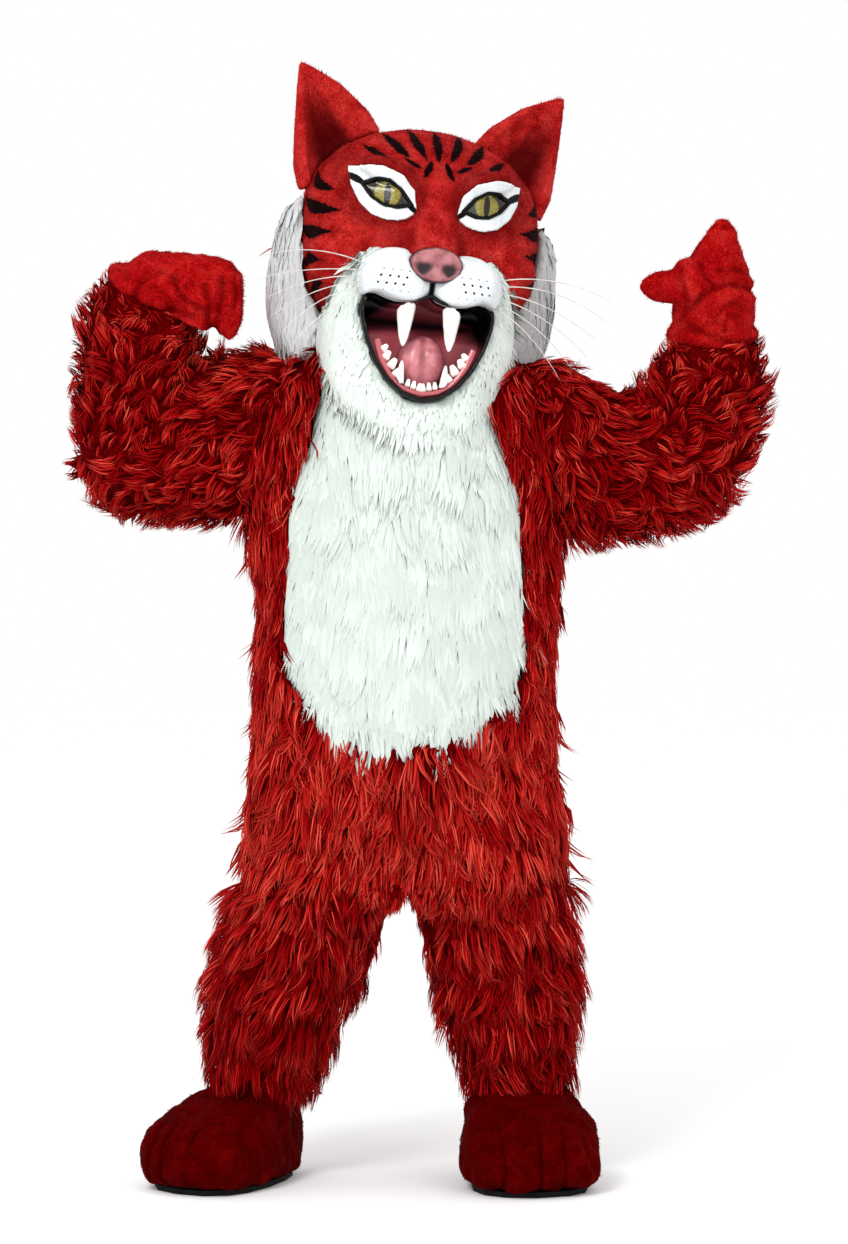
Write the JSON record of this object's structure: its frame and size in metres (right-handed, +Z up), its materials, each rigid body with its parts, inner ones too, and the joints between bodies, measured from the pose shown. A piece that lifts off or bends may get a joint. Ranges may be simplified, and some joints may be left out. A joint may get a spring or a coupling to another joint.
{
  "type": "wildcat mascot costume",
  "caption": "Full-body wildcat mascot costume, standing with both arms raised: long shaggy suit with a pale belly, plush mitts and feet, and an open-mouthed head.",
  "frame": {"origin": "the wearer's neck at shoulder height, where the wearer carries the suit and the head", "axes": "+Z up, -Y the way the chest faces, +X to the wearer's left"},
  "size_m": [1.2074, 0.4594, 1.9494],
  "materials": {
    "red_fur": "long shaggy red fake fur, pile about 50 mm",
    "white_fur": "long off-white fake fur, pile about 50 mm",
    "red_plush": "short-pile red plush",
    "dark_plush": "short-pile dark red plush",
    "white_plush": "short-pile white plush",
    "black_vinyl": "glossy black vinyl",
    "eye_vinyl": "glossy olive-yellow eye with a slit pupil",
    "mouth_pink": "satin pink vinyl",
    "nose_pink": "satin pink vinyl with a dark edge",
    "tooth": "glossy white resin",
    "sole_rubber": "matt black rubber",
    "whisker": "thin white nylon"
  },
  "bodies": {
    "root": {"back_left": "red_fur", "back_placket": "red_plush", "back_right": "red_fur", "belly_panel": "white_fur", "canine_left": "tooth", "canine_right": "tooth", "chin_fur": "white_fur", "ear_left": "red_plush", "ear_right": "red_plush", "eye_left": "eye_vinyl", "eye_patch_left": "white_plush", "eye_patch_right": "white_plush", "eye_right": "eye_vinyl", "eye_rim_left": "black_vinyl", "eye_rim_right": "black_vinyl", "fang_left": "tooth", "fang_right": "tooth", "foot_left": "dark_plush", "foot_right": "dark_plush", "front_left": "red_fur", "front_right": "red_fur", "head_back": "red_plush", "head_face": "red_plush", "leg_left": "red_fur", "leg_right": "red_fur", "mitt_left": "red_plush", "mitt_right": "red_plush", "mouth_lining": "black_vinyl", "muzzle_left": "white_plush", "muzzle_right": "white_plush", "nape_fur": "red_fur", "nose": "nose_pink", "ruff_left": "white_fur", "ruff_right": "white_fur", "sleeve_left": "red_fur", "sleeve_right": "red_fur", "sole_left": "sole_rubber", "sole_right": "sole_rubber", "teeth_lower": "tooth", "tongue": "mouth_pink", "whisker_left_1": "whisker", "whisker_left_2": "whisker", "whisker_left_3": "whisker", "whisker_left_4": "whisker", "whisker_left_5": "whisker", "whisker_left_6": "whisker", "whisker_right_1": "whisker", "whisker_right_2": "whisker", "whisker_right_3": "whisker", "whisker_right_4": "whisker", "whisker_right_5": "whisker", "whisker_right_6": "whisker"}
  },
  "joints": []
}
